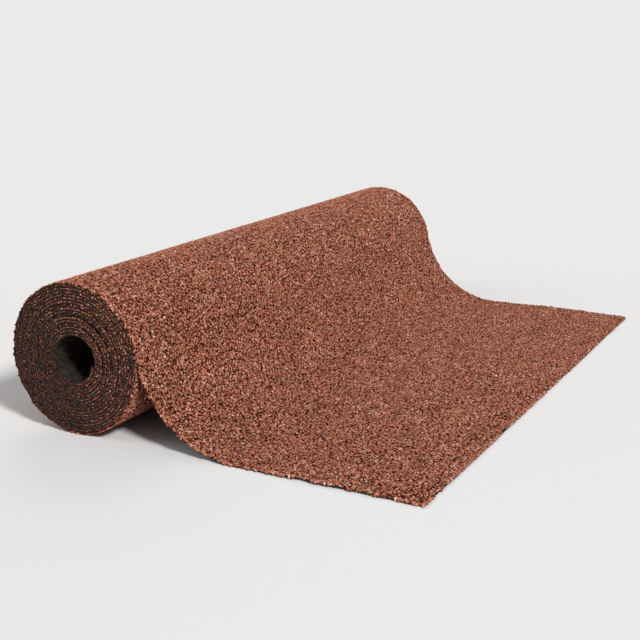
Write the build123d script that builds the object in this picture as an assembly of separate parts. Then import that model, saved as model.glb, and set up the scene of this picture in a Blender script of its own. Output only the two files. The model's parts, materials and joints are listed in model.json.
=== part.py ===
from build123d import *
import math
import os

# A roll of mineral-surfaced roofing felt, wound with its granule face outwards.
# The roll lies on a level floor and its outer end sweeps down and lies flat beside it.
# Millimetres, +Z up. The bore runs along Y and the loose end points along +X.
# The origin is on the floor, under the middle of the whole piece.

# The sheet
sheet_width = 1000.0
sheet_length = 8000.0
sheet_thickness = 4.0  # with its granules

# The winding
bore_diameter = 60.0
turn_gap = 0.5  # air left between one turn and the next
turn_relief = 5.0  # how deep that gap shows in the ends of the roll

# The loose end
loose_length = 480.0  # felt that has left the roll, measured along the sheet
sweep_radius = 150.0  # inside radius of the sweep from the roll down to the floor

# Worked out from the sizes above
bore_radius = bore_diameter / 2
turn_pitch = sheet_thickness + turn_gap
half_pitch = turn_pitch / 2
wound_length = sheet_length - loose_length
roll_radius = half_pitch + math.sqrt(bore_radius**2 + wound_length * turn_pitch / math.pi)

# The felt leaves the roll at this angle above level, so that the sweep ends flat on the floor.
leave_sine = (sweep_radius + sheet_thickness - roll_radius + half_pitch) / (
    roll_radius + sweep_radius + half_pitch
)
leave_angle = math.degrees(math.asin(leave_sine))
sweep_angle = 90 - leave_angle
sweep_length = math.radians(sweep_angle) * (sweep_radius + sheet_thickness / 2)
flat_length = loose_length - sweep_length

# The lowest turn touches the floor, and the origin is half way from the roll to the cut end.
axis_height = roll_radius - half_pitch * (1 - leave_sine)
cut_end_reach = (roll_radius + sweep_radius) * math.cos(math.radians(leave_angle)) + flat_length
axis_x = (roll_radius - cut_end_reach) / 2

# A spiral is drawn as half turns about two centres, which lie half a pitch apart.
# The winding plane's x runs from the bore's axis to the point where the felt leaves the roll.
leave_direction = (math.cos(math.radians(leave_angle)), 0, leave_sine)
winding_plane = Plane(
    origin=(axis_x, 0, axis_height), x_dir=leave_direction, z_dir=(0, -1, 0)
)
upper_centre = (0, 0)
lower_centre = (-half_pitch, 0)
sweep_centre = (roll_radius + sweep_radius, 0)


def turn_of_spiral(radius):
    """One turn inwards from a radius, as an upper and a lower half turn."""
    return [
        CenterArc(upper_centre, radius, 0, 180),
        CenterArc(lower_centre, radius - half_pitch, 180, 180),
    ]


def loose_face(radius):
    """One face of the loose end, swept about the sweep's centre and then flat."""
    sweep = CenterArc(sweep_centre, radius, 180, sweep_angle)
    flat = PolarLine(sweep @ 1, flat_length, -leave_angle)
    return [sweep, flat]


def felt_section():
    """The outline of the roll and its loose end, square to the bore."""
    granule_face = loose_face(sweep_radius)
    under_face = loose_face(sweep_radius + sheet_thickness)
    outer_turn = turn_of_spiral(roll_radius)
    nip = Line(outer_turn[-1] @ 1, under_face[0] @ 0)
    cut_end = Line(granule_face[-1] @ 1, under_face[-1] @ 1)
    outline = Wire([*outer_turn, nip, *under_face, cut_end, *granule_face])
    return Face(outline)


def gap_section():
    """The spiral gap between the turns, from the nip in to the innermost turn."""
    outer_wall = []
    inner_wall = []
    radius = roll_radius
    while radius - 2 * turn_pitch > bore_radius + sheet_thickness:
        outer_wall += turn_of_spiral(radius - sheet_thickness)
        inner_wall += turn_of_spiral(radius - turn_pitch)
        radius -= turn_pitch
    mouth = Line(outer_wall[0] @ 0, inner_wall[0] @ 0)
    inner_end = Line(outer_wall[-1] @ 1, inner_wall[-1] @ 1)
    return Face(Wire([*outer_wall, inner_end, *inner_wall, mouth]))


def felt_roll():
    """The whole roll: one solid with its bore, and its turns cut into both ends."""
    section = winding_plane * (felt_section() - Circle(bore_radius))
    roll = extrude(section, sheet_width / 2, both=True)
    gap = winding_plane * gap_section()
    for side in (-1, 1):
        end_of_roll = Pos(0, side * sheet_width / 2, 0)
        roll -= extrude(end_of_roll * gap, turn_relief, dir=(0, -side, 0))
    return roll


os.makedirs("parts", exist_ok=True)
roll = felt_roll()
export_step(roll, "parts/felt_roll.step")

print("roll radius", round(roll_radius, 2), "leave angle", round(leave_angle, 2))
print("bore axis at x", round(axis_x, 3), "z", round(axis_height, 3))
print("flat part", round(flat_length, 2), "cut end at x", round(axis_x + cut_end_reach, 2))
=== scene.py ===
import json
import math

import bmesh
import bpy
import numpy as np
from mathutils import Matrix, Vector


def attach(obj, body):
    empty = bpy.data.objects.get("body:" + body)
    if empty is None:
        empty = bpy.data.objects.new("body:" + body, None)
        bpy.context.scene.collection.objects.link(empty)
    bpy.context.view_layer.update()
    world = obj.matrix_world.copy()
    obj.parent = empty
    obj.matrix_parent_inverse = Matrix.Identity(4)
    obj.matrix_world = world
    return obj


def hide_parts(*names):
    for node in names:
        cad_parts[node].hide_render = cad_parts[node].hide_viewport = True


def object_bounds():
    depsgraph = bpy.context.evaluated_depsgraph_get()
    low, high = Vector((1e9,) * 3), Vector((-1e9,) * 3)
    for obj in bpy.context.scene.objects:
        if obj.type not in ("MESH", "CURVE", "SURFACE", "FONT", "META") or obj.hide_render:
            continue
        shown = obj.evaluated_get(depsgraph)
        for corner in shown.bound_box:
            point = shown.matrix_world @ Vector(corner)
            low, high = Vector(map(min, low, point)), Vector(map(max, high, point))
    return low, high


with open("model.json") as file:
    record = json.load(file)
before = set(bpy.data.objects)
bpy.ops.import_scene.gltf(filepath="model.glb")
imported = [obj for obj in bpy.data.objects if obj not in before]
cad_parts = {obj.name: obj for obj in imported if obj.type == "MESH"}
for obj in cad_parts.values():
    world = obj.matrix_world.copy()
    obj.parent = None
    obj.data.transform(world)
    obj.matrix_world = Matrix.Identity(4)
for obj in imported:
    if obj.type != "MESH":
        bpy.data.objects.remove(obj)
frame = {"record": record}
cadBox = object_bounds()
print("frame loaded")

mm = 0.001

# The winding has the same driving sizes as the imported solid
winding = {
    "sheetLength": 8.0,
    "sheetThickness": 4.0 * mm,
    "turnGap": 0.5 * mm,
    "looseLength": 0.48,
    "sweepRadius": 0.15,
}

boreMount = [mount for mount in frame["record"]["mounts"] if mount["name"] == "bore"][0]
axisX, axisZ = boreMount["pos_m"][0], boreMount["pos_m"][2]
boreRadius = boreMount["dims"]["r_mm"] * mm
cutEndX = cadBox[1].x
halfWidth = cadBox[1].y

thickness = winding["sheetThickness"]
sweepRadius = winding["sweepRadius"]
pitch = thickness + winding["turnGap"]
woundLength = winding["sheetLength"] - winding["looseLength"]
rollRadius = pitch / 2 + math.sqrt(boreRadius**2 + woundLength * pitch / math.pi)
centreGap = rollRadius + sweepRadius  # from the middle of the roll to the middle of the sweep
leaveSine = (sweepRadius + thickness - rollRadius + pitch / 2) / (centreGap + pitch / 2)
leaveAngle = math.asin(leaveSine)
sweepAngle = math.pi / 2 - leaveAngle
flatLength = winding["looseLength"] - sweepAngle * (sweepRadius + thickness / 2)
looseRun = flatLength + sweepAngle * sweepRadius  # along the granule face
lastAngle = (rollRadius - thickness - boreRadius) / pitch * 2 * math.pi
fullTurn = 2 * math.pi * rollRadius
seenTurn = fullTurn * 1.04  # the outer turn and the start of the next, which still shows
print("roll radius", round(rollRadius / mm, 1), "mm,", round(lastAngle / 2 / math.pi, 1), "turns")


# A place on the sheet is its run from the cut end, its place across, and its depth under the
# granule face. On the roll the run goes on at the outer radius: it is angle times rollRadius.
def sectionPoint(run, depth):
    sweepTurn = -math.pi / 2 - (run - flatLength) / sweepRadius
    sweepX, sweepZ = np.cos(sweepTurn), np.sin(sweepTurn)
    centreX = axisX + centreGap * math.cos(leaveAngle)
    centreZ = axisZ + centreGap * math.sin(leaveAngle)

    # the spiral is half turns about two centres, half a pitch apart
    turned = np.maximum(run - looseRun, 0) / rollRadius
    turn = np.floor(turned / (2 * math.pi))
    second = (turned - turn * 2 * math.pi) > math.pi
    radius = rollRadius - pitch * turn - np.where(second, pitch / 2, 0) - depth
    shift = np.where(second, -pitch / 2, 0)
    rollX, rollZ = np.cos(turned + leaveAngle), np.sin(turned + leaveAngle)

    stretches = [run < flatLength, run < looseRun]  # flat, then the sweep, and then the roll
    x = np.select(
        stretches,
        [cutEndX - run, centreX + (sweepRadius + depth) * sweepX],
        axisX + shift * math.cos(leaveAngle) + radius * rollX,
    )
    z = np.select(
        stretches,
        [thickness - depth, centreZ + (sweepRadius + depth) * sweepZ],
        axisZ + shift * math.sin(leaveAngle) + radius * rollZ,
    )
    normalX = np.select(stretches, [0 * run, -sweepX], rollX)
    normalZ = np.select(stretches, [0 * run + 1, -sweepZ], rollZ)
    return x, z, normalX, normalZ


def fade(value, start, end):
    share = np.clip((value - start) / (end - start), 0, 1)
    return share * share * (3 - 2 * share)


def ripple(seed, shortest, longest, count=7):
    # a smooth random surface from about -1 to 1, with wavelengths between the two given
    rng = np.random.default_rng(seed)
    heading = rng.uniform(0, 2 * math.pi, count)
    wave = 2 * math.pi / np.geomspace(shortest, longest, count)
    phase = rng.uniform(0, 2 * math.pi, count)
    stretch = 1.6  # the waves seldom crest together

    def height(a, b=0.0):
        total = 0
        for i in range(count):
            forward = a * math.cos(heading[i]) + b * math.sin(heading[i])
            total = total + np.cos(wave[i] * forward + phase[i])
        return total / count * stretch

    return height


# How far the real sheet wanders from the plain winding
lay = {
    "bowHeight": 2.2 * mm,  # the loose end arches a little off the floor
    "bowRipple": 0.9 * mm,
    "outerDent": 0.3 * mm,
    "dentFade": 60 * mm,  # run over which the dents begin, where the sheet comes off the roll
    "gapWander": 0.22 * mm,
    "coveredFrom": 0.97,  # in turns, where the turn above comes down on the sheet
    "coveredBy": 1.03,
    "sideDrift": 1.5 * mm,  # turns stand out or lie back at the ends of the roll
    "driftFrom": 0.6,  # share of the loose end that lies true
    "sideMargin": 2.0 * mm,
}

bowRipple = ripple(11, 0.12, 0.5)
dentRipple = ripple(12, 0.09, 0.4)
gapRipple = ripple(13, 0.10, 0.6)
driftRipple = ripple(14, 0.5, 2.6)


def swell(run, across):
    # outward offset of the whole sheet, square to it
    arch = np.sin(math.pi * np.clip(run / flatLength, 0, 1)) ** 2
    bow = arch * (lay["bowHeight"] + lay["bowRipple"] * bowRipple(run, across))
    onRoll = fade(run, looseRun, looseRun + lay["dentFade"])
    coveredFrom, coveredBy = fullTurn * lay["coveredFrom"], fullTurn * lay["coveredBy"]
    inner = fade(run, looseRun + coveredFrom, looseRun + coveredBy)
    dent = -lay["outerDent"] * (1 + dentRipple(run, across)) * onRoll * (1 - inner)
    gap = lay["gapWander"] * gapRipple(run) * inner
    return bow + dent + gap


def drift(run):
    growing = fade(run, looseRun * lay["driftFrom"], looseRun + fullTurn)
    return lay["sideDrift"] * driftRipple(run) * growing


def skinPoint(run, across, depth):
    run, across, depth = np.broadcast_arrays(run, across, depth)
    x, z, normalX, normalZ = sectionPoint(run, depth)
    out = swell(run, across)
    points = np.stack([x + normalX * out, across + drift(run), z + normalZ * out], -1)
    normals = np.stack([normalX, 0 * normalX, normalZ], -1)
    return points, normals


# The sheet: one closed ribbon of bitumen from the cut end in to the bore. The granules are real
# chips all over the loose end and the outer turn, and stand inside the surface of the solid.
ribbon = {
    "columnStep": 4.0 * mm,
    "innerStep": 5.0 * mm,
    "endRows": 200,  # across the cut end
    "endColumns": 4,  # that have so many rows
    "faceRows": 40,
    "underRows": 10,
    "faceDepth": 1.6 * mm,
    "innerDepth": 0.55 * mm,
    "innerFrom": 0.93,  # in turns, where the sheet's face begins to rise to the inner depth
    "coat": 0.7 * mm,  # of granules and bitumen at a cut edge
    "underDepth": 3.92 * mm,
    "sideBite": 1.8 * mm,
    "edgeWobble": 0.5 * mm,
    "endBite": 3.4 * mm,
    "endReach": 12 * mm,  # how far in the sheet follows the shape of its cut end
    "nickDepth": 6.0 * mm,  # where the knife was set down again
    "nickLength": 20.0 * mm,
    "nickAt": -0.2,  # across the sheet
    "cornerWear": 2.2 * mm,
    "cornerReach": 8.0 * mm,
    "sharpAngle": 40.0,  # degrees
}


def faceDepth(run):
    inner = fade(run, looseRun + fullTurn * ribbon["innerFrom"], looseRun + fullTurn)
    return ribbon["faceDepth"] * (1 - inner) + ribbon["innerDepth"] * inner


endRagged = ripple(21, 11 * mm, 110 * mm, 10)
sideRagged = {-1: ripple(22, 11 * mm, 80 * mm, 10), 1: ripple(23, 11 * mm, 80 * mm, 10)}


def cutEnd(across):
    # how far the cut end lies back from the farthest reach of the sheet
    short = ribbon["nickAt"] - across
    nick = ribbon["nickDepth"] * np.clip(1 - short / ribbon["nickLength"], 0, 1) * (short > 0)
    corner = 1 - fade(halfWidth - lay["sideMargin"] - np.abs(across), 0, ribbon["cornerReach"])
    return ribbon["endBite"] * (1 + endRagged(across)) * 0.5 + nick + ribbon["cornerWear"] * corner


def sideEdge(run, side):
    bite = ribbon["sideBite"] * (1 + sideRagged[side](run))
    return side * (halfWidth - lay["sideMargin"] - bite)


def sheetLoops(runs, rows, underRows, rng):
    # closed sections across the sheet: the granule face, an edge, the under face, an edge
    runs = runs[:, None]
    near, far = sideEdge(runs, -1), sideEdge(runs, 1)
    endFade = 1 - fade(runs, 0, ribbon["endReach"])
    top = faceDepth(runs)
    middle = (top + ribbon["coat"] + ribbon["underDepth"]) / 2
    parts = []

    def add(across, depth):
        places = np.broadcast_to(runs + cutEnd(across) * endFade, across.shape)
        made = skinPoint(places, across, depth)[0]
        parts.append(np.concatenate([made, places[..., None], across[..., None]], 2))

    def addEdge(side, edge, depths):
        for depth in depths:
            add(edge + side * ribbon["edgeWobble"] * rng.uniform(-1, 1, runs.shape), depth)

    add(near + (far - near) * np.linspace(0, 1, rows + 1), top)
    addEdge(1, far, (top + ribbon["coat"], middle))
    add(far + (near - far) * np.linspace(0, 1, underRows + 1), ribbon["underDepth"])
    addEdge(-1, near, (middle, top + ribbon["coat"]))
    return np.concatenate(parts, 1)


def sidesOf(loop, rows):
    # the loop's eight sides: granule face, three strips of an edge, under face, three strips
    count = len(loop)
    corners = [0, rows, rows + 1, rows + 2, rows + 3, count - 3, count - 2, count - 1, count]
    closed = loop + loop[:1]
    return [closed[a : b + 1] for a, b in zip(corners[:-1], corners[1:])]


def strip(one, two):
    # faces between two rows of points; one row may have several points to the other's one
    cells = min(len(one), len(two)) - 1
    a, b = (len(one) - 1) // cells, (len(two) - 1) // cells
    faces = []
    for i in range(cells):
        ahead, behind = one[i * a : i * a + a + 1], two[i * b : i * b + b + 1]
        faces.append(tuple(ahead) + tuple(behind[::-1]))
    return faces


def addObject(name, data):
    made = bpy.data.objects.new(name, data)
    bpy.context.scene.collection.objects.link(made)
    return made


def meshObject(name, points, faces):
    mesh = bpy.data.meshes.new(name)
    mesh.from_pydata(points.tolist(), [], faces)
    return addObject(name, mesh)


# Where each part of the sheet lies on its baked map: left, bottom, width, height
sheetMap = {
    "nearEdge": (0.005, 0.005, 0.8, 0.276),
    "farEdge": (0.005, 0.29, 0.8, 0.276),
    "outerFace": (0.005, 0.575, 0.99, 0.2),
    "innerFace": (0.815, 0.005, 0.18, 0.56),
    "looseUnder": (0.005, 0.785, 0.99, 0.13),
    "innerUnder": (0.005, 0.925, 0.99, 0.07),
}


def mapSheet(mesh, sides, flat):
    # flat gives each point's run and place across
    corner = np.empty(len(mesh.loops), int)
    mesh.loops.foreach_get("vertex_index", corner)
    counts = np.empty(len(mesh.polygons), int)
    mesh.polygons.foreach_get("loop_total", counts)
    points = np.empty(len(mesh.vertices) * 3)
    mesh.vertices.foreach_get("co", points)
    x, z = points.reshape(-1, 3)[corner, 0], points.reshape(-1, 3)[corner, 2]
    run, across = flat[corner, 0], flat[corner, 1] / (2 * halfWidth) + 0.5
    side = np.repeat(sides, counts)
    longest = looseRun + lastAngle * rollRadius
    parting = looseRun + seenTurn
    farthestRun = np.repeat(np.maximum.reduceat(run, np.cumsum(counts) - counts), counts)
    seen = farthestRun <= parting + 1 * mm  # on the loose end or the outer turn
    uv = np.zeros((len(corner), 2))

    def place(name, chosen, u, v):
        left, bottom, width, height = sheetMap[name]
        u, v = left + width * np.clip(u, 0, 1), bottom + height * np.clip(v, 0, 1)
        uv[chosen] = np.stack([u, v], -1)[chosen]

    u, v = (x - cadBox[0].x) / (cadBox[1].x - cadBox[0].x), z / cadBox[1].z
    place("farEdge", (side >= 1) & (side <= 3), u, v)
    place("nearEdge", (side >= 5) & (side <= 7), u, v)
    place("outerFace", (side == 0) & seen, across, run / parting)
    place("innerFace", (side == 0) & ~seen, across, (run - parting) / (longest - parting))
    place("looseUnder", (side == 4) & seen, across, run / parting)
    place("innerUnder", (side == 4) & ~seen, across, (longest - run) / fullTurn)
    mesh.uv_layers.new(name="OFBake").data.foreach_set("uv", uv.ravel())


def makeSheet():
    rng = np.random.default_rng(5)
    outerEnd = looseRun + seenTurn
    outer = np.linspace(0, outerEnd, int(outerEnd / ribbon["columnStep"]))
    angle, inner = seenTurn / rollRadius, []
    while angle < lastAngle:
        angle += ribbon["innerStep"] / (rollRadius - pitch * angle / (2 * math.pi))
        inner.append(looseRun + min(angle, lastAngle) * rollRadius)
    endColumns = ribbon["endColumns"]
    spans = [
        (outer[:endColumns], ribbon["endRows"], ribbon["underRows"]),
        (outer[endColumns:], ribbon["faceRows"], ribbon["underRows"]),
        (np.array(inner), 1, 1),
    ]
    loops, points, start = [], [], 0
    for runs, rows, underRows in spans:
        section = sheetLoops(runs, rows, underRows, rng)
        points.append(section.reshape(-1, 5))
        for _ in section:
            loops.append(sidesOf(list(range(start, start + section.shape[1])), rows))
            start += section.shape[1]
    faces, sides = [], []
    for first, second in zip(loops[:-1], loops[1:]):
        for i in range(len(first)):
            made = strip(first[i], second[i])
            faces += made
            sides += [i] * len(made)
    for end in (loops[0], loops[-1]):
        cap = strip(end[0], end[4][::-1]) + [tuple(end[1] + end[3]), tuple(end[5] + end[7])]
        faces += cap
        sides += [2] * len(cap)  # the ends of the sheet count as bare edge
    points = np.concatenate(points)
    sheet = meshObject("felt_sheet", points[:, :3], faces)
    # the granule face and the strips beside it are coated, and the rest is bare bitumen
    materials = [0 if side in (0, 1, 7) else 1 for side in sides]
    sheet.data.polygons.foreach_set("material_index", materials)
    work = bmesh.new()
    work.from_mesh(sheet.data)
    bmesh.ops.recalc_face_normals(work, faces=work.faces)
    work.to_mesh(sheet.data)
    work.free()
    mapSheet(sheet.data, np.array(sides), points[:, 3:])
    sheet.data.shade_smooth()
    sheet.data.set_sharp_from_angle(angle=math.radians(ribbon["sharpAngle"]))
    print("sheet made,", len(sheet.data.polygons), "faces")
    return sheet


sheet = makeSheet()

# The stones come in a few angular kinds, one unit wide, with a wide base and a smaller, tilted top
stones = {
    "kinds": 24,
    "corners": ((4, 3), (4, 2), (5, 3), (4, 3)),  # of the base and of the top
    "baseReach": (0.46, 0.6),
    "topReach": (0.24, 0.46),
    "stretch": (0.5, 0.95),
    "uneven": 0.3,  # share of the step from one corner to the next
    "lowestTop": 0.62,
    "openBelow": -0.7,  # faces turned down further than this are left out, hidden in the sheet
    "sunk": 0.5 * mm,  # depth of a stone's foot in the sheet
    "underCover": 0.3 * mm,  # of bitumen left under the deepest stone
    "boxMargin": 0.02 * mm,  # left inside the box of the solid
    "mapShare": 0.8,  # of its cell on the baked map that a chip fills
    "paleGrain": (1, 0, 1),  # colour numbers of the palest stones
}


def makeStoneShapes():
    rng = np.random.default_rng(31)
    uneven = stones["uneven"]
    shapes = []
    for kind in range(stones["kinds"]):
        baseCount, topCount = stones["corners"][kind % len(stones["corners"])]
        stretch = rng.uniform(*stones["stretch"])
        base = (baseCount, stones["baseReach"], 0.0)
        top = (topCount, stones["topReach"], 1.0)
        work = bmesh.new()
        for count, reaches, z in (base, top):
            turn = rng.uniform(0, 2 * math.pi)
            for i in range(count):
                angle = turn + (i + rng.uniform(-uneven, uneven)) * 2 * math.pi / count
                reach = rng.uniform(*reaches)
                height = z * rng.uniform(stones["lowestTop"], 1.0)
                work.verts.new((reach * math.cos(angle), reach * math.sin(angle) * stretch, height))
        bmesh.ops.convex_hull(work, input=work.verts)
        work.faces.ensure_lookup_table()
        hidden = [face for face in work.faces if face.normal.z < stones["openBelow"]]
        bmesh.ops.delete(work, geom=hidden, context="FACES_ONLY")
        bmesh.ops.triangulate(work, faces=work.faces)
        work.verts.index_update()
        corners = np.array([corner.co for corner in work.verts])
        triangles = np.array([[corner.index for corner in face.verts] for face in work.faces])
        shapes.append((corners, triangles))
        work.free()
    return shapes


stoneShapes = makeStoneShapes()


def unit(vectors):
    return vectors / np.linalg.norm(vectors, axis=-1, keepdims=True)


def chipMesh(name, points, triangles, colours, mapped):
    mesh = bpy.data.meshes.new(name)
    mesh.vertices.add(len(points))
    mesh.vertices.foreach_set("co", points.ravel())
    mesh.loops.add(triangles.size)
    mesh.loops.foreach_set("vertex_index", triangles.ravel())
    mesh.polygons.add(len(triangles))
    mesh.polygons.foreach_set("loop_start", np.arange(len(triangles)) * 3)
    mesh.update(calc_edges=True)
    tint = mesh.attributes.new("grain", "FLOAT_COLOR", "POINT")
    tint.data.foreach_set("color", colours.ravel())
    corners = mapped[triangles.ravel()]
    mesh.uv_layers.new(name="OFBake").data.foreach_set("uv", corners.ravel())
    mesh.shade_flat()
    return mesh


def makeChips(name, rng, places, normals, depths, ups, sizes, heights, pale=0.0):
    # Chips at places on the sheet, each with its own kind, turn, size and three colour numbers.
    # A point's fourth number is how far up the chip it is, which the stone material uses to darken
    # its foot with bitumen and painted shade.
    count = len(places)
    kinds = rng.integers(0, len(stoneShapes), count)
    turn = rng.uniform(0, 2 * math.pi, count)
    aslant = np.array([0.3, 1.0, 0.2])  # hardly any chip points this way
    side = unit(np.cross(ups, aslant))
    ahead = np.cross(ups, side)
    first = side * np.cos(turn)[:, None] + ahead * np.sin(turn)[:, None]
    second = np.cross(ups, first)
    grain = rng.uniform(0, 1, (count, 3))
    grain[rng.uniform(0, 1, count) < pale] = stones["paleGrain"]
    cells = math.ceil(math.sqrt(count))
    sunk, deepest = stones["sunk"], ribbon["underDepth"] - stones["underCover"]
    points, triangles, colours, maps, start = [], [], [], [], 0
    for kind, (corners, faces) in enumerate(stoneShapes):
        chosen = np.nonzero(kinds == kind)[0]
        x, y, z = [corners[None, :, i : i + 1] for i in range(3)]
        flat = x * first[chosen, None] + y * second[chosen, None]
        rise = z * (heights[chosen, None, None] + sunk) - sunk
        offset = flat * sizes[chosen, None, None] + rise * ups[chosen, None]
        square = normals[chosen, None]
        depth = depths[chosen, None] - (offset * square).sum(-1)
        lift = np.maximum(depth - deepest, 0)[..., None]
        points.append((places[chosen, None] + offset + square * lift).reshape(-1, 3))
        firstPoint = start + np.arange(len(chosen)) * len(corners)
        triangles.append((faces[None] + firstPoint[:, None, None]).reshape(-1, 3))
        up = np.tile(corners[:, 2:3], (len(chosen), 1))
        colours.append(np.hstack([np.repeat(grain[chosen], len(corners), axis=0), up]))
        cell = np.stack([chosen % cells, chosen // cells], -1) + 0.5
        spot = cell[:, None] + corners[None, :, :2] * stones["mapShare"]
        maps.append(spot.reshape(-1, 2) / cells)
        start += len(chosen) * len(corners)
    # what would pass the box of the solid is pressed flat, such as the lowest chips on the floor
    low = np.array(cadBox[0]) + stones["boxMargin"]
    high = np.array(cadBox[1]) - stones["boxMargin"]
    points = np.clip(np.concatenate(points), low, high)
    triangles = np.concatenate(triangles)
    mesh = chipMesh(name, points, triangles, np.concatenate(colours), np.concatenate(maps))
    print(name, count, "chips,", len(triangles), "triangles")
    return addObject(name, mesh)


# The granules on the faces, pressed into the sheet a little askew
granules = {
    "spacing": 4.0 * mm,
    "jitter": 0.22,  # share of the spacing
    "smallest": 0.9,  # share of the spacing
    "largest": 1.7,
    "sizeSpread": (2.2, 2.0),  # of the beta curve from the smallest to the largest
    "lost": 0.07,  # share of chips that left a pit
    "height": 1.6 * mm,
    "lowest": 0.4,  # share of the height
    "lean": 0.228,  # any way, as a spread
}


def faceChips(name, runFrom, runTo, seed):
    rng = np.random.default_rng(seed)
    step = granules["spacing"]
    rowStep = step * math.sqrt(3) / 2
    # the rows run on from piece to piece
    rows = np.arange(math.ceil(runFrom / rowStep), math.ceil(runTo / rowStep))
    columns = np.arange(-halfWidth, halfWidth, step)
    run, across = np.meshgrid((rows + 0.5) * rowStep, columns, indexing="ij")
    across = across + (rows % 2)[:, None] * step / 2
    run = (run + rng.normal(0, granules["jitter"] * step, run.shape)).ravel()
    across = (across + rng.normal(0, granules["jitter"] * step, across.shape)).ravel()
    inside = (across > sideEdge(run, -1)) & (across < sideEdge(run, 1)) & (run > cutEnd(across))
    kept = inside & (rng.uniform(0, 1, run.shape) > granules["lost"])
    run, across = run[kept], across[kept]
    count = len(run)
    depths = faceDepth(run)
    places, normals = skinPoint(run, across, depths)
    smallest, largest = granules["smallest"] * step, granules["largest"] * step
    sizes = smallest + (largest - smallest) * rng.beta(*granules["sizeSpread"], count)
    heights = granules["height"] * rng.uniform(granules["lowest"], 1.0, count)
    ups = unit(normals + rng.normal(0, granules["lean"], normals.shape))
    return makeChips(name, rng, places, normals, depths, ups, sizes, heights)


# The granules along the edges, which lean out over them and have broken away in stretches
edgeGranules = {
    "rows": 2,
    "spacing": 3.0 * mm,
    "jitter": 0.25,  # share of the spacing
    "endMargin": 3.0 * mm,  # at both corners of the cut end
    "size": 4.6 * mm,
    "sizes": (0.5, 1.5),  # shares of the size
    "height": 1.4 * mm,
    "heights": (0.4, 1.0),  # shares of the height
    "lean": (0.1, 1.2),  # outwards
    "drop": 0.8 * mm,  # each row hangs this much lower
    "drops": (0.4, 1.6),  # shares of the drop
    "scatter": 2.0 * mm,
    "scatters": (-0.8, 1.2),  # shares of the scatter, from outside the edge to inside it
    "lost": 0.1,
    "lostWhereBare": 0.85,
    "bareAbove": 0.12,  # of the ripple along an edge
    "pale": 0.09,  # share of the edge chips given the palest colour
    "innerFrom": 0.9,  # in turns, where the change to the squeezed inner turns begins
    "innerLost": 0.3,  # of each row but the first
    "innerScatterLoss": 0.4,  # share of the scatter
    "innerSizeLoss": 0.45,  # share of the size
    "innerHeightLoss": 0.75 * mm,
}
bareRipple = ripple(24, 9 * mm, 70 * mm, 9)


def edgeRuns(rng):
    # places along a long edge, evenly spaced on the real sheet
    spacing = edgeGranules["spacing"]
    outer = np.arange(0, looseRun + fullTurn, spacing)
    angle, inner = 2 * math.pi, []
    while angle < lastAngle:
        inner.append(looseRun + angle * rollRadius)
        angle += spacing / (rollRadius - pitch * angle / (2 * math.pi))
    run = np.concatenate([outer, inner])
    return run + rng.normal(0, edgeGranules["jitter"] * spacing, len(run))


def lostShare(along, apart):
    bare = bareRipple(along, apart) > edgeGranules["bareAbove"]
    return np.where(bare, edgeGranules["lostWhereBare"], edgeGranules["lost"])


def edgeRow(rng, row, run, across, outward, inner):
    # one row's places, normals, depths, ups, sizes, heights and chances to be pale
    count = len(run)
    drop = row * edgeGranules["drop"] * rng.uniform(*edgeGranules["drops"], count)
    depths = faceDepth(run) + drop
    places, normals = skinPoint(run, across, depths)
    lean = np.array(outward) * rng.uniform(*edgeGranules["lean"], (count, 1))
    sizes = edgeGranules["size"] * rng.uniform(*edgeGranules["sizes"], count)
    sizes = sizes * (1 - edgeGranules["innerSizeLoss"] * inner)
    heights = edgeGranules["height"] - edgeGranules["innerHeightLoss"] * inner
    heights = heights * rng.uniform(*edgeGranules["heights"], count)
    pale = edgeGranules["pale"] * (1 - inner)
    return places, normals, depths, unit(normals + lean), sizes, heights, pale


def edgeChips(name, seed):
    rng = np.random.default_rng(seed)
    rows = []
    for side in (-1, 1):
        for row in range(edgeGranules["rows"]):
            run = np.clip(edgeRuns(rng), 1 * mm, looseRun + lastAngle * rollRadius)
            run = np.maximum(run, cutEnd(side * halfWidth))
            inner = fade(run, looseRun + edgeGranules["innerFrom"] * fullTurn, looseRun + fullTurn)
            lost = lostShare(run, side * halfWidth) * (1 - inner)
            lost = lost + inner * edgeGranules["innerLost"] * row
            kept = rng.uniform(0, 1, len(run)) > lost
            run, inner = run[kept], inner[kept]
            scatter = edgeGranules["scatter"] * (1 - edgeGranules["innerScatterLoss"] * inner)
            inwards = rng.uniform(*edgeGranules["scatters"], len(run)) * scatter
            across = sideEdge(run, side) - side * inwards
            rows.append(edgeRow(rng, row, run, across, (0, side, 0), inner))
    reach = halfWidth - edgeGranules["endMargin"]
    for row in range(edgeGranules["rows"]):
        across = np.arange(-reach, reach, edgeGranules["spacing"])
        jitter = edgeGranules["jitter"] * edgeGranules["spacing"]
        across = across + rng.normal(0, jitter, len(across))
        across = across[rng.uniform(0, 1, len(across)) > lostShare(across, 0.0)]
        inwards = rng.uniform(*edgeGranules["scatters"], len(across)) * edgeGranules["scatter"]
        run = cutEnd(across) + inwards
        rows.append(edgeRow(rng, row, run, across, (1, 0, 0), 0 * run))
    return makeChips(name, rng, *[np.concatenate(part) for part in zip(*rows)])


thirdTurn = fullTurn / 3
chips = [
    faceChips("granules_flat", 0, flatLength, seed=41),
    faceChips("granules_sweep", flatLength, looseRun, seed=43),
    faceChips("granules_top", looseRun, looseRun + thirdTurn, seed=44),
    faceChips("granules_back", looseRun + thirdTurn, looseRun + 2 * thirdTurn, seed=46),
    faceChips("granules_under", looseRun + 2 * thirdTurn, looseRun + fullTurn, seed=47),
    edgeChips("granules_edges", seed=45),
]
print("granules made")


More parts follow.
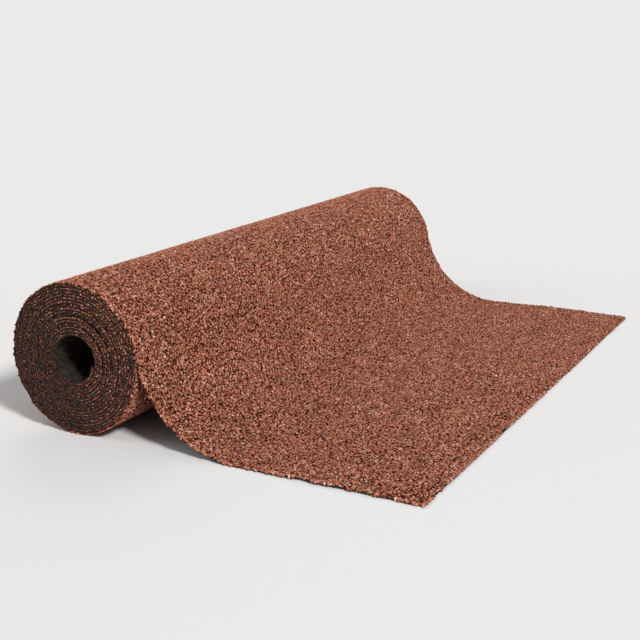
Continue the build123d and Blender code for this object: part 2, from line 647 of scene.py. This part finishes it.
# Shader maths: a wrapped socket takes part in plain expressions, one Math node an operator
class Wire:
    def __init__(self, shader, socket):
        self.shader = shader
        self.socket = socket

    def maths(self, operation, first, second):
        return self.shader.node("ShaderNodeMath", {"operation": operation}, {0: first, 1: second})

    def __add__(self, other):
        return self.maths("ADD", self, other)

    def __radd__(self, other):
        return self.maths("ADD", other, self)

    def __sub__(self, other):
        return self.maths("SUBTRACT", self, other)

    def __rsub__(self, other):
        return self.maths("SUBTRACT", other, self)

    def __mul__(self, other):
        return self.maths("MULTIPLY", self, other)

    def __rmul__(self, other):
        return self.maths("MULTIPLY", other, self)

    def output(self, name):
        return Wire(self.shader, self.socket.node.outputs[name])


class Shader:
    def __init__(self, holder, surface="Principled BSDF"):
        holder.use_nodes = True
        self.holder = holder  # a material or a world
        self.tree = holder.node_tree
        self.surface = self.tree.nodes[surface]

    def node(self, kind, settings=None, values=None, output=0):
        made = self.tree.nodes.new(kind)
        for name, value in (settings or {}).items():
            if name == "stops":
                fillStops(made.color_ramp, value)
            else:
                setattr(made, name, value)
        for name, value in (values or {}).items():
            self.feed(made.inputs[name], value)
        return Wire(self, made.outputs[output])

    def feed(self, socket, value):
        if isinstance(value, Wire):
            self.tree.links.new(value.socket, socket)
        else:
            socket.default_value = value

    def finish(self, values):
        for name, value in values.items():
            self.feed(self.surface.inputs[name], value)
        return self.holder

    def smooth(self, value, start, end, low=0.0, high=1.0):
        settings = {"interpolation_type": "SMOOTHSTEP"}
        values = {0: value, 1: start, 2: end, 3: low, 4: high}
        return self.node("ShaderNodeMapRange", settings, values)

    def mixColours(self, share, first, second, blend="MIX"):
        settings = {"data_type": "RGBA", "blend_type": blend}
        return self.node("ShaderNodeMix", settings, {0: share, 6: first, 7: second}, output=2)

    def vectors(self, operation, first, second, output=0):
        values = {0: first, 1: second}
        return self.node("ShaderNodeVectorMath", {"operation": operation}, values, output)

    def scaled(self, vector, share):
        values = {0: vector, "Scale": share}
        return self.node("ShaderNodeVectorMath", {"operation": "SCALE"}, values)

    def noise(self, where, size, detail=2.0, roughness=0.55):
        values = {"Vector": where, "Scale": 1 / size, "Detail": detail, "Roughness": roughness}
        return self.node("ShaderNodeTexNoise", {}, values)

    def cells(self, where, size, feature="F1"):
        values = {"Vector": where, "Scale": 1 / size}
        return self.node("ShaderNodeTexVoronoi", {"feature": feature}, values)

    def bump(self, height, distance):
        return self.node("ShaderNodeBump", {}, {"Height": height, "Distance": distance})


def fillStops(colourRamp, stops):
    while len(colourRamp.elements) < len(stops):
        colourRamp.elements.new(0.5)
    for element, (place, colour) in zip(colourRamp.elements, stops):
        element.position = place
        element.color = (*colour, 1)


# Brick-red stone granules over black bitumen
redFelt = {
    "stops": [
        (0.0, (0.2, 0.055, 0.024)),
        (0.2, (0.34, 0.101, 0.05)),
        (0.5, (0.43, 0.137, 0.072)),
        (0.8, (0.52, 0.213, 0.14)),
        (0.95, (0.59, 0.34, 0.267)),
        (1.0, (0.68, 0.47, 0.39)),
    ],
    "pit": (0.024, 0.006, 0.002, 1),
    "brown": (0.36, 0.165, 0.095, 1),
    "brownShare": 0.7,
    "bleached": (0.62, 0.39, 0.32, 1),
    "bleachedShare": 0.13,
    "darkest": 0.92,  # of the stones' brightness, which goes up from there by the spread
    "spread": 0.5,
    "dust": (0.50, 0.21, 0.14, 1),
    "dustShare": 0.16,
    "dustPatch": 0.11,
    "dustRange": (0.38, 0.72),  # of the noise, from clean to dusty
    "dampest": 0.88,
    "dampPatch": 0.045,
    "dampRange": (0.3, 0.62),  # of the noise, from damp to dry
    "roughness": (0.62, 0.86),
    "bitumenAndShade": (0.42, 0.18, 0.09, 1),  # darkens the foot of each stone: partly bitumen that has crept up it, partly painted shade in the crevices between the stones
    "bitumenShadeRange": (0.2, 0.6),  # shares of a stone's height over which the bitumen and painted shade at the foot fade out
    "fleckSize": 0.9 * mm,
    "fleckShare": 0.25,
    "fleckRange": (0.3, 0.7),
    "pocks": 0.7 * mm,
    "pockDepth": 0.15 * mm,
}


def granuleColour(shader, where, tone, hue, shade):
    # Tone picks the stone, hue turns some browner, and shade bleaches and brightens them.
    # Dust lies in wide patches, and smaller ones are damp.
    stone = shader.node("ShaderNodeValToRGB", {"stops": redFelt["stops"]}, {0: tone})
    stone = shader.mixColours(hue * hue * redFelt["brownShare"], stone, redFelt["brown"])
    stone = shader.mixColours(shade * redFelt["bleachedShare"], stone, redFelt["bleached"])
    stone = shader.scaled(stone, redFelt["darkest"] + shade * redFelt["spread"])
    patches = shader.noise(where, redFelt["dustPatch"], detail=4.0)
    patches = shader.smooth(patches, *redFelt["dustRange"])
    dusty = shader.mixColours(patches * redFelt["dustShare"], stone, redFelt["dust"])
    dry = shader.noise(where, redFelt["dampPatch"], detail=3.0)
    dry = shader.smooth(dry, *redFelt["dampRange"], low=redFelt["dampest"])
    return shader.scaled(dusty, dry)


# The bed between the chips: fine stones of the same felt, with black holes among them, painted
# darker than the chips as shade between them
bed = {
    "stoneSize": 2.2 * mm,
    "stir": 0.9 * mm,
    "stirPatch": 0.8,  # share of the stone size
    "gap": (0.01, 0.085),  # shares of the stone size, from black gap to stone
    "side": (0.015, 0.17),  # the same, over which a stone's side rises
    "lowest": 0.45,  # share of the relief that the lowest stone has
    "tilt": 1.4,
    "grit": 0.12,  # share of the relief
    "gritSize": 0.5 * mm,
    "relief": 0.75 * mm,
    "shade": 0.42,  # of the chips' colour: painted shade on the bed between the chips
    # share of the bitumen and painted shade colour multiplied into the bed
    "bitumenShadeShare": 0.5,
    "holes": (0.41, 0.47),  # of the stones' numbers, below which a hole takes a stone's place
}


def makeGranuleBed():
    shader = Shader(bpy.data.materials.new("granule_coat"))
    where = shader.node("ShaderNodeTexCoord", output="Object")
    size = bed["stoneSize"]
    stir = shader.noise(where, size * bed["stirPatch"]).output("Color")
    stir = shader.vectors("SUBTRACT", stir, (0.5, 0.5, 0.5))
    stirred = shader.vectors("ADD", where, shader.scaled(stir, bed["stir"]))
    cells = shader.cells(stirred, size)
    gaps = shader.cells(stirred, size, "DISTANCE_TO_EDGE")
    numbers = shader.node("ShaderNodeSeparateColor", {}, {0: cells.output("Color")})
    tone, tall, shade = numbers, numbers.output("Green"), numbers.output("Blue")

    fromMiddle = shader.vectors("SUBTRACT", stirred, cells.output("Position"))
    leaning = shader.vectors("SUBTRACT", cells.output("Color"), (0.5, 0.5, 0.5))
    tilt = shader.vectors("DOT_PRODUCT", fromMiddle, leaning, "Value") * (bed["tilt"] / size)
    body = shader.smooth(gaps, *bed["side"])
    top = bed["lowest"] + (1 - bed["lowest"]) * tall
    height = body * top + tilt * body + bed["grit"] * shader.noise(where, bed["gritSize"])

    # the bed's stones are painted darker than the chips, as shade between them, then darkened again
    # by bitumen and painted shade
    stone = shader.scaled(granuleColour(shader, where, tone, tall, shade), bed["shade"])
    stone = shader.mixColours(bed["bitumenShadeShare"], stone, redFelt["bitumenAndShade"], "MULTIPLY")
    filled = shader.smooth(gaps, *bed["gap"]) * shader.smooth(shade, *bed["holes"])
    low, high = redFelt["roughness"]
    return shader.finish({
        "Base Color": shader.mixColours(filled, redFelt["pit"], stone),
        "Roughness": low + (high - low) * shade,
        "Normal": shader.bump(height, bed["relief"]),
        "Specular IOR Level": 0.0,
    })


def makeChipStone():
    shader = Shader(bpy.data.materials.new("granule_stone"))
    where = shader.node("ShaderNodeTexCoord", output="Object")
    grain = shader.node("ShaderNodeAttribute", {"attribute_name": "grain"})
    numbers = shader.node("ShaderNodeSeparateColor", {}, {0: grain})
    tone, hue, shade = numbers, numbers.output("Green"), numbers.output("Blue")
    stone = granuleColour(shader, where, tone, hue, shade)
    flecks = shader.noise(where, redFelt["fleckSize"], detail=3.0)
    flecks = shader.smooth(flecks, *redFelt["fleckRange"])
    flecked = shader.mixColours(redFelt["fleckShare"] * flecks, stone, redFelt["pit"])
    # the foot of each chip is darkened: partly bitumen, partly painted shade in the crevices
    shadedFoot = 1 - shader.smooth(grain.output("Alpha"), *redFelt["bitumenShadeRange"])
    low, high = redFelt["roughness"]
    pocks = shader.noise(where, redFelt["pocks"], detail=3.0)
    return shader.finish({
        "Base Color": shader.mixColours(shadedFoot, flecked, redFelt["bitumenAndShade"], "MULTIPLY"),
        "Roughness": low + (high - low) * shade,
        "Normal": shader.bump(pocks, redFelt["pockDepth"]),
        "Specular IOR Level": 0.05,
    })


# Bitumen of the under face and the cut edges, dull with sand and with dust off the stones
bitumen = {
    "black": (0.0085, 0.0072, 0.0062, 1),
    "worn": (0.027, 0.023, 0.02, 1),
    "wornPatch": 9 * mm,
    "wornRange": (0.36, 0.68),  # of the noise, from black to worn
    "dust": (0.11, 0.05, 0.033, 1),
    "dustShare": 0.16,
    "dustPatch": 5 * mm,
    "dustRange": (0.42, 0.66),
    "sand": (0.27, 0.22, 0.18, 1),
    "sandSize": 1.1 * mm,
    "sandRim": (0.36, 0.2),  # shares of the sand size, from the rim of a grain inwards
    "sandRange": (0.6, 0.95),  # of the grains' numbers, from no sand to a full grain
    "sandHeight": 0.6,  # share of the relief
    "lumps": 1.6 * mm,
    "relief": 0.6 * mm,
    "roughness": (0.55, 0.85),
}


def makeBitumen():
    shader = Shader(bpy.data.materials.new("bitumen"))
    where = shader.node("ShaderNodeTexCoord", output="Object")
    wear = shader.noise(where, bitumen["wornPatch"], detail=6.0, roughness=0.65)
    wear = shader.smooth(wear, *bitumen["wornRange"])
    base = shader.mixColours(wear, bitumen["black"], bitumen["worn"])
    dusted = shader.noise(where, bitumen["dustPatch"], detail=4.0)
    dusted = shader.smooth(dusted, *bitumen["dustRange"])
    base = shader.mixColours(dusted * bitumen["dustShare"], base, bitumen["dust"])
    grains = shader.cells(where, bitumen["sandSize"])
    number = shader.node("ShaderNodeSeparateColor", {}, {0: grains.output("Color")})
    sand = shader.smooth(grains, *bitumen["sandRim"])
    sand = sand * shader.smooth(number, *bitumen["sandRange"])
    height = shader.noise(where, bitumen["lumps"], detail=4.0) + bitumen["sandHeight"] * sand
    low, high = bitumen["roughness"]
    return shader.finish({
        "Base Color": shader.mixColours(sand, base, bitumen["sand"]),
        "Roughness": low + (high - low) * wear,
        "Normal": shader.bump(height, bitumen["relief"]),
        "Specular IOR Level": 0.18,
    })


sheet.data.materials.append(makeGranuleBed())
sheet.data.materials.append(makeBitumen())
chipStone = makeChipStone()
for piece in chips:
    piece.data.materials.append(chipStone)
for piece in [sheet, *chips]:
    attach(piece, "root")
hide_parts("felt_roll")
print("materials made")

# Floor, light and camera
studio = {
    "floorSize": 80.0,
    "floorDrop": 0.2 * mm,
    "floorColour": (0.76, 0.755, 0.745, 1),
    "backColour": (0.824, 0.82, 0.807, 1),
    "skyStrength": 0.32,
    "lampDistance": 6.0,
    "lamps": {  # strength, width in degrees, then degrees round from the front and up
        "key": (3.0, 11.0, 62.0, 38.0),
        "frontFill": (0.5, 40.0, -60.0, 30.0),
        "backFill": (0.6, 40.0, -150.0, 32.0),
    },
}


def makeFloor():
    half, z = studio["floorSize"] / 2, -studio["floorDrop"]
    points = np.array([(-half, -half, z), (half, -half, z), (half, half, z), (-half, half, z)])
    floor = meshObject("floor", points, [(0, 1, 2, 3)])
    shader = Shader(bpy.data.materials.new("pale_floor"))
    matt = {"Base Color": studio["floorColour"], "Roughness": 1.0, "Specular IOR Level": 0.0}
    floor.data.materials.append(shader.finish(matt))


def aimedObject(name, data, azimuth, elevation, distance, target=(0, 0, 0)):
    # a lamp or camera that looks at the target; azimuth 0 is the front, 90 is past the loose end
    turn, rise = math.radians(azimuth), math.radians(elevation)
    level = math.cos(rise)
    outwards = Vector((math.sin(turn) * level, -math.cos(turn) * level, math.sin(rise)))
    made = addObject(name, data)
    made.location = Vector(target) + outwards * distance
    made.rotation_euler = (-outwards).to_track_quat("-Z", "Y").to_euler()
    return made


def makeLamp(name, strength, width, azimuth, elevation):
    lamp = bpy.data.lights.new(name, "SUN")
    lamp.energy = strength
    lamp.angle = math.radians(width)
    aimedObject(name, lamp, azimuth, elevation, studio["lampDistance"])


def makeWorld():
    # the backdrop's colour is only for the camera, and the object is lit by plain white
    shader = Shader(bpy.data.worlds.new("studio"), "Background")
    toCamera = shader.node("ShaderNodeLightPath", output="Is Camera Ray")
    strength = studio["skyStrength"]
    bpy.context.scene.world = shader.finish({
        "Color": shader.mixColours(toCamera, (1, 1, 1, 1), studio["backColour"]),
        "Strength": strength + (1 - strength) * toCamera,
    })


view = {
    "azimuth": 28.0,
    "elevation": 15.0,
    "distance": 1.9,
    "lens": 64.6,
    "sensorWidth": 36.0,
    "target": (-0.062, -0.05, 0.078),
}


def makeCamera():
    lens = bpy.data.cameras.new("camera")
    lens.sensor_width = view["sensorWidth"]
    lens.lens = view["lens"]
    place = (view["azimuth"], view["elevation"], view["distance"], view["target"])
    bpy.context.scene.camera = aimedObject("camera", lens, *place)


makeFloor()
for name, values in studio["lamps"].items():
    makeLamp(name, *values)
makeWorld()
makeCamera()
bpy.context.scene.view_settings.view_transform = "Standard"
print("studio made")

bpy.context.view_layer.update()
